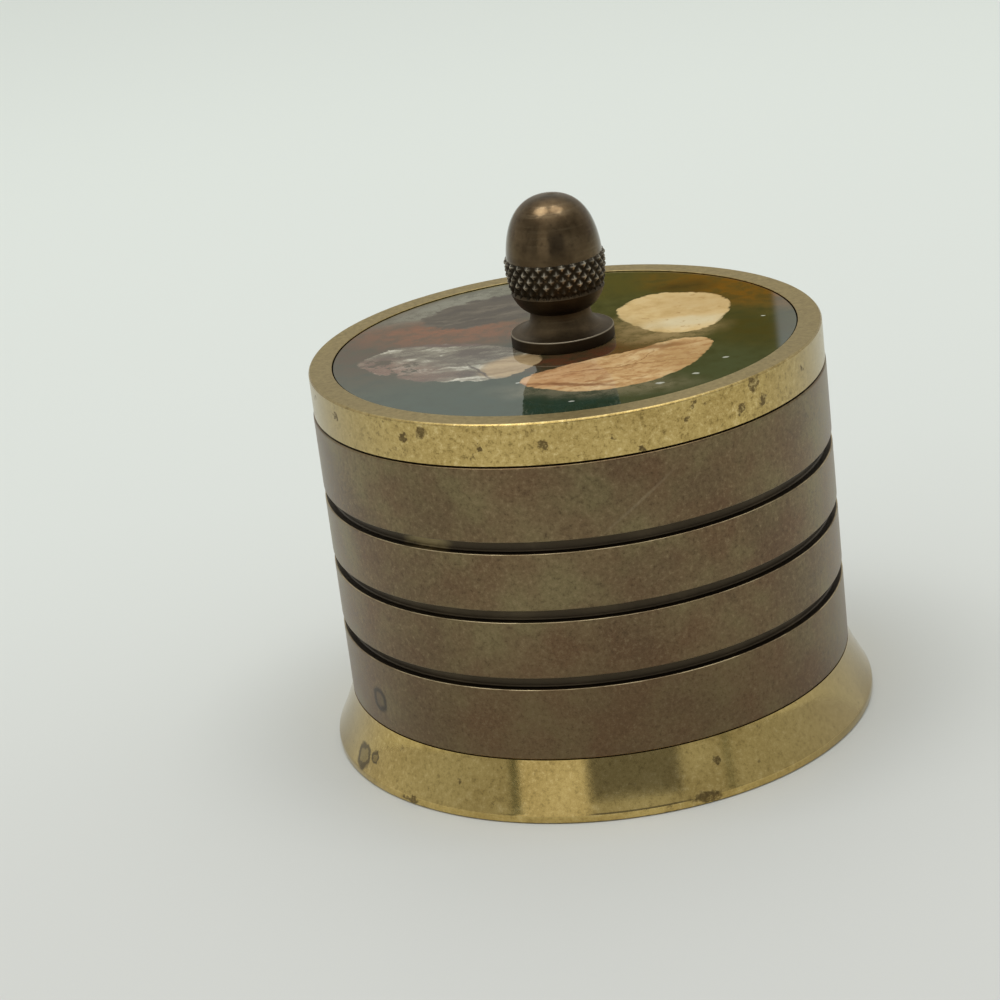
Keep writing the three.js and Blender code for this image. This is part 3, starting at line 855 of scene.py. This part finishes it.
def cut_stone(name):
    bm = bmesh.new()
    inside = bm.verts.layers.float.new("inside")
    face = bm.faces.new([bm.verts.new(place) for place in outlines[name]])
    for share, value in DIP_STEPS:
        bmesh.ops.inset_region(bm, faces=[face], thickness=share * DIPS[name] * MM, use_boundary=True,
                               use_even_offset=True)
        for vert in face.verts:
            vert[inside] = value
    walls = bmesh.ops.extrude_edge_only(bm, edges=open_edges(bm.edges))["geom"]
    bmesh.ops.translate(bm, verts=verts_in(walls), vec=INLAY_DROP)
    bmesh.ops.edgeloop_fill(bm, edges=open_edges(walls))
    finish_piece(bm, name + "_stone", "lid", "stone_" + name, STONE_FINISHES[name])


for name in STONES:
    cut_stone(name)

# %% Cast the resin
bm = bmesh.new()
for radius, segments in ((INLAY_RADIUS, 192), (SCREW_HOLE, 48)):
    ring = bmesh.ops.create_circle(bm, cap_ends=False, segments=segments, radius=radius * MM)
    bmesh.ops.translate(bm, verts=ring["verts"], vec=(0, 0, INLAY_TOP * MM))
for places in outlines.values():
    loop = [bm.verts.new(place) for place in places]
    for first, second in zip(loop, loop[1:] + loop[:1]):
        bm.edges.new((first, second))
bmesh.ops.triangle_fill(bm, use_beauty=True, use_dissolve=False, edges=bm.edges[:])
cast = bmesh.ops.extrude_face_region(bm, geom=bm.faces[:], use_keep_orig=True)["geom"]
bmesh.ops.translate(bm, verts=verts_in(cast), vec=INLAY_DROP)
finish_piece(bm, "resin", "lid", "inlay_resin", green_resin)

# %% [markdown]
# ## Bronze of the knob
#
# The knob's metal is the darkest on the box, a brown bronze with faint turning lines. It is blacker below
# the nut, where no finger rubs, and a painted shade darkens it under the cup. The pedestal has a painted
# shade on its upright side and a painted highlight along its lip. These zones could be separate materials,
# but heights and distances from the axis let one finish fade between them. The knurled band has its own copy
# with dark cuts. Its mesh carries two attributes: "tip" is high at the points of the diamonds and "ridge" on
# their edges, and together they say where it is worn pale and carries a painted highlight.

# %% Knob finish
PEDESTAL_TOP = KNOB_LOW + 1.4
NECK_TOP = KNOB_LOW + 3.8
CUP_TOP = KNOB_LOW + 10.1
BRONZE_DARK, BRONZE_LIGHT = (0.070, 0.046, 0.024), (0.150, 0.104, 0.056)
TURNING_LINE, BRONZE_PIT = (0.2, 0.15, 0.09), (0.045, 0.029, 0.016)
LOW_BRONZE, UNDER_CUP_SHADE = (0.045, 0.034, 0.02), (0.03, 0.022, 0.014)
PEDESTAL_SIDE_SHADE, LIP_HIGHLIGHT = (0.026, 0.018, 0.011), (0.36, 0.31, 0.23)
KNURL_CUT, KNURL_GLINT = (0.02, 0.016, 0.011), (0.55, 0.49, 0.39)


def bronze(tree, where, grain):
    tone = ramp(tree, noise(tree, where, 3, detail=5), (0.34, BRONZE_DARK), (0.66, BRONZE_LIGHT))
    lines = noise(tree, where, (9, 9, 0.35), roughness=0.7)
    tone = mix(tree, spread(tree, lines, 0.5, 0.75, 0, 0.6), tone, TURNING_LINE)
    return mix(tree, spread(tree, grain, 0.5, 0.3, 0, 0.5), tone, BRONZE_PIT)


# Painted shade on the pedestal's upright side, and a painted highlight along its lip.
def pedestal_edge(tree, where, height, tone):
    radius = radius_of(tree, where)
    side = times(tree, spread(tree, radius, KNOB_RADIUS - 0.1, KNOB_RADIUS - 0.04, 0, 0.6),
                 spread(tree, height, PEDESTAL_TOP - 0.1, PEDESTAL_TOP - 0.2))
    lip = times(tree, spread(tree, radius, KNOB_RADIUS - 0.16, KNOB_RADIUS - 0.06),
                mark(tree, where, (0, 0, PEDESTAL_TOP), (FAR, FAR, 0.12)))
    return tint(tree, mix(tree, side, tone, PEDESTAL_SIDE_SHADE), lip, 0.7, LIP_HIGHLIGHT)


# Worn pale tips and ridges that also carry a painted highlight, where the knurl's points catch the light.
def knurl_wear_and_highlight(tree, where):
    shine = times(tree, spread(tree, attribute(tree, "tip"), 0.15, 0.75),
                  spread(tree, attribute(tree, "ridge"), 0, 1, 0.25, 1))
    return times(tree, shine, spread(tree, noise(tree, where, 1.6, detail=3), 0.35, 0.6, 0.45, 1))


def knob_finish(name, cut_strength):
    finish, tree, shader, where = start_finish(name)
    grain = noise(tree, where, 0.5, detail=5, roughness=0.7)
    height = height_of(tree, where)
    below_nut = spread(tree, height, CUP_TOP + 0.4, CUP_TOP - 1.1)
    # Painted shade: the bowl under the cup is darkened.
    under_cup = mark(tree, where, (0, 0, NECK_TOP + 1.2), (FAR, FAR, 1.3), soft=0.5)
    tone = tint(tree, bronze(tree, where, grain), below_nut, 0.4, LOW_BRONZE)
    tone = tint(tree, tone, under_cup, 0.6, UNDER_CUP_SHADE)
    tone = pedestal_edge(tree, where, height, tone)
    tone = mix(tree, cut_strength, tone, KNURL_CUT)
    tone = mix(tree, knurl_wear_and_highlight(tree, where), tone, KNURL_GLINT)
    matt = spread(tree, below_nut, 0, 1, 0.15, 0.45)
    metal(tree, shader, tone, math_node(tree, "MULTIPLY_ADD", grain, 0.1, matt), grain, 0.008)
    return finish


knob_bronze = knob_finish("knob_bronze", cut_strength=0)
knurl_bronze = knob_finish("knurl_bronze", cut_strength=0.75)
print("made", knob_bronze.name, knurl_bronze.name)

# %% [markdown]
# ## Acorn knob
#
# The knob is turned from one bar: a pedestal disc, a hollow flare to the neck, a cup, and a smooth nut. Its
# curves could be arcs of circles, but a few control points follow an acorn more easily. The cup is turned a
# little smaller where the knurled band goes on, and the hole for the screw stays open below.

# %% Turn the knob
PEDESTAL_SHOULDER = 5.6
NECK_RADIUS = 3.45
CUP_RADIUS = 5.8
CUP_WIDEST = CUP_TOP - 1.7
NUT_RADIUS = CUP_RADIUS - 0.35
KNURL_DEPTH = 0.42
KNURL_ROOM = 4
THREAD_RADIUS = 1.6
THREAD_TOP = KNOB_LOW + 8
STEP_TOP = CUP_TOP - 0.02

neck, widest = (NECK_RADIUS, NECK_TOP), (CUP_RADIUS, CUP_WIDEST)
nut_base, nut_tip = (NUT_RADIUS, CUP_TOP), (0, KNOB_TOP)
hollow = curve([(PEDESTAL_SHOULDER, PEDESTAL_TOP + 0.02), (3.3, PEDESTAL_TOP + 0.3), neck], 12)
bowl = [neck, *curve([neck, (5.4, NECK_TOP + 0.78), widest], 14), widest]
turned_bowl = [(r - (KNURL_DEPTH + 0.05 if z > CUP_TOP - KNURL_ROOM else 0), z) for r, z in bowl]
nut = curve([nut_base, (NUT_RADIUS - 0.3, CUP_TOP + 4.4), (3.5, KNOB_TOP), nut_tip], 24)
turn(
    "knob",
    [(0, THREAD_TOP), (THREAD_RADIUS, THREAD_TOP), (THREAD_RADIUS, KNOB_LOW), (KNOB_RADIUS, KNOB_LOW, 0.1),
     (KNOB_RADIUS, PEDESTAL_TOP, 0.12), (PEDESTAL_SHOULDER, PEDESTAL_TOP), *hollow, *turned_bowl,
     (CUP_RADIUS - KNURL_DEPTH - 0.1, STEP_TOP), (NUT_RADIUS, STEP_TOP), nut_base, *nut, nut_tip],
    "knob", "acorn_knob", knob_bronze, steps=128, closed=False)

# %% [markdown]
# ## Knurled band
#
# The cup is knurled: crossed cuts leave small raised diamonds. A bump texture could fake them, but they show
# in the knob's outline, so they are real. Poking a grid of faces and dissolving the grid's own edges leaves
# just the diamonds, and poking those lifts their points. A small bevel makes the ridges, which are worn pale
# and carry a painted highlight. A plane then trims the band as the lathe did, and an inner wall closes it.

# %% Raise the diamonds
DIAMONDS_AROUND = 26
ROW_HEIGHT = 1.43
KNURL_LOW = CUP_TOP - 3.9
LOWEST_ROW_TOP = KNURL_LOW + 0.5 * ROW_HEIGHT
POINT_LIFT = KNURL_DEPTH + 0.12
RIDGE_WIDTH = 0.1
DIMMER_LOW_TIP = 0.45
cup = [(r - KNURL_DEPTH, z) for r, z in [*bowl, (CUP_RADIUS, CUP_TOP + ROW_HEIGHT)]]


def cup_radius(height):
    for (r0, z0), (r1, z1) in zip(cup, cup[1:]):
        if z0 <= height <= z1:
            return r0 + (r1 - r0) * (height - z0) / (z1 - z0)


bm = bmesh.new()
ridge = bm.faces.layers.float.new("ridge")
tip = bm.verts.layers.float.new("tip")
rows = [KNURL_LOW + i * ROW_HEIGHT for i in range(-1, 4)]
spin_profile(bm, [(cup_radius(z), z) for z in rows], DIAMONDS_AROUND, closed=False)
merge_and_face_out(bm)
grid = [e for e in bm.edges if not e.is_boundary]
bmesh.ops.poke(bm, faces=bm.faces[:])
bmesh.ops.dissolve_edges(bm, edges=grid, use_verts=False)
diamonds = [f for f in bm.faces if len(f.verts) == 4]
peaks = bmesh.ops.poke(bm, faces=diamonds, offset=POINT_LIFT * MM)["verts"]
# The tip attribute marks worn points with a painted highlight; the lowest row gets less of it.
for peak in peaks:
    peak[tip] = 1 if peak.co.z > LOWEST_ROW_TOP * MM else DIMMER_LOW_TIP
ridges = bmesh.ops.bevel(bm, geom=[e for peak in peaks for e in peak.link_edges], offset=RIDGE_WIDTH * MM,
                         offset_type="OFFSET", segments=1, profile=0.5, affect="EDGES", material=-1)["faces"]
for face in ridges:
    face[ridge] = 1
print("knurl has", len(diamonds), "diamonds")

# %% Trim and close the band
KNURL_WALL = 0.9
TOP_EDGE_WEAR_AND_SHINE = 0.5

bmesh.ops.bisect_plane(bm, geom=bm.verts[:] + bm.edges[:] + bm.faces[:], plane_co=(0, 0, CUP_TOP * MM),
                       plane_no=(0, 0, 1), clear_outer=True)
walls = bmesh.ops.extrude_edge_only(bm, edges=open_edges(bm.edges))["geom"]
for vert in verts_in(walls):
    vert.co -= Vector((vert.co.x, vert.co.y, 0)).normalized() * KNURL_WALL * MM
# The band's top edge is marked worn and given a painted highlight too.
for face in [item for item in walls if isinstance(item, bmesh.types.BMFace)]:
    if face.calc_center_median().z > (CUP_TOP - 0.1) * MM:
        face[ridge] = 1
        for vert in face.verts:
            vert[tip] = TOP_EDGE_WEAR_AND_SHINE
bmesh.ops.bridge_loops(bm, edges=open_edges(walls))
finish_piece(bm, "knurl", "knob", "acorn_knob", knurl_bronze)

# %% [markdown]
# ## Screw and washer
#
# The screw and washer under the lid hold the knob. They could be turned again here, but the CAD pieces have
# the right shape already, so they stay and only get the plain brass finish.

# %% Finish the screw and washer
for node in ("knob_screw", "knob_washer"):
    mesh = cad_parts[node].data
    mesh.materials.clear()
    mesh.materials.append(plain_brass)
    print(node, "gets", plain_brass.name)

# %% [markdown]
# ## Floor
#
# The box stands on a pale table. A small plane would do for one picture, but in low views its end would show,
# so the floor is a very broad disc. Its colour is a little darker towards the front, a painted shade for the
# light falling off there, with a slow cloud in it.

# %% Lay the floor
FLOOR_REACH = 40
FRONT_SHADED_TONE, MIDDLE_FALLOFF_TONE, BACK_LIT_TONE = (0.565, 0.57, 0.55), (0.65, 0.68, 0.65), (0.715, 0.76, 0.72)


def split(tree, vector):
    node = tree.nodes.new("ShaderNodeSeparateXYZ")
    tree.links.new(vector, node.inputs["Vector"])
    return [node.outputs[axis] for axis in "XYZ"]


bm = bmesh.new()
bmesh.ops.create_circle(bm, cap_ends=True, segments=96, radius=FLOOR_REACH)
table = bpy.data.meshes.new("table")
bm.to_mesh(table)
bm.free()
floor_paint, tree, shader, where = start_finish("table_paint")
cloudy = times(tree, noise(tree, where, 120, detail=2), 40)
depth = math_node(tree, "ADD", split(tree, where)[1], cloudy)
# Painted shade: the floor's colour falls off towards the front, as the light does.
paint = ramp(tree, spread(tree, depth, -140, 420), (0, FRONT_SHADED_TONE), (0.4, MIDDLE_FALLOFF_TONE), (1, BACK_LIT_TONE))
plug(tree, shader.inputs["Base Color"], paint)
shader.inputs["Roughness"].default_value = 0.6
table.materials.append(floor_paint)
floor = add_object("table", table)
print("floor laid,", FLOOR_REACH, "m in radius")

# %% [markdown]
# ## Light
#
# Two soft panels hang overhead, and a pale room fills the rest. One even grey would light the box as well,
# but polished metal shows whatever is around it. So the room is brighter overhead and dimmer at the front,
# with a warm skirting low on the back wall, a pale wall left of the camera, a dark gap on each side, and the
# camera itself as a dark block. A narrow warm screen behind the right half keeps the white glare off the lid
# there, and so the green, the amber and two stones show their colours.

# %% Hang the panels
PANEL_AIM = Vector((0, 0, 0.03))


def hang_panel(name, place, size, power):
    panel = bpy.data.lights.new(name, "AREA")
    panel.shape = "SQUARE"
    panel.size = size
    panel.energy = power
    lamp = add_object(name, panel)
    lamp.location = place
    lamp.rotation_euler = (PANEL_AIM - lamp.location).to_track_quat("-Z", "Y").to_euler()
    print(name, "hangs", place[2], "m up")


hang_panel("left_panel", (-0.25, -0.05, 0.87), size=0.38, power=1.7)
hang_panel("right_panel", (0.22, -0.05, 0.87), size=0.34, power=1.3)

# %% Paint the room
def between(tree, value, low, high, soft):
    rise = spread(tree, value, low - soft, low + soft)
    return times(tree, rise, spread(tree, value, high + soft, high - soft))


def facing(tree, bearing, left, right, soft):
    return between(tree, bearing, math.radians(left), math.radians(right), soft)


world = bpy.data.worlds.new("pale_room")
bpy.context.scene.world = world
world.use_nodes = True
tree = world.node_tree
across, along, up = split(tree, tree.nodes.new("ShaderNodeTexCoord").outputs["Generated"])
bearing = math_node(tree, "ARCTAN2", across, times(tree, along, -1))
skirting = times(tree, spread(tree, up, 0.305, 0.28), spread(tree, along, 0.8, 0.9))
block = times(tree, facing(tree, bearing, -11, 29, 0.03), spread(tree, up, 0.47, 0.41))
screen = times(tree, between(tree, across, 0.0066, 0.0778, 0.0015), between(tree, up, 0.24, 0.34, 0.01))
screen = times(tree, screen, spread(tree, along, 0.6, 0.75))
room = {
    "back wall": (spread(tree, along, 0.5, 0.9), (0.59, 0.605, 0.565)),
    "skirting": (skirting, (0.51, 0.47, 0.405)),
    "front": (spread(tree, along, 0.6, -0.35), (0.43, 0.44, 0.43)),
    "pale wall": (facing(tree, bearing, -41, -11, 0.02), (0.70, 0.70, 0.67)),
    "left gap": (facing(tree, bearing, -44, -41, 0.012), (0.08, 0.10, 0.08)),
    "right gap": (facing(tree, bearing, 49, 51.5, 0.012), (0.2, 0.22, 0.2)),
    "block": (block, (0.17, 0.175, 0.185)),
    "ceiling": (spread(tree, up, 0.6, 0.95), (1.2, 1.2, 1.17)),
    "screen": (screen, (0.2, 0.15, 0.03)),
}
tone = (0.60, 0.61, 0.60)
for mask, colour in room.values():
    tone = mix(tree, mask, tone, colour)
sky = tree.nodes["Background"]
plug(tree, sky.inputs["Color"], tone)
sky.inputs["Strength"].default_value = 1
bpy.context.scene.view_settings.view_transform = "Standard"
print("room painted:", ", ".join(room))
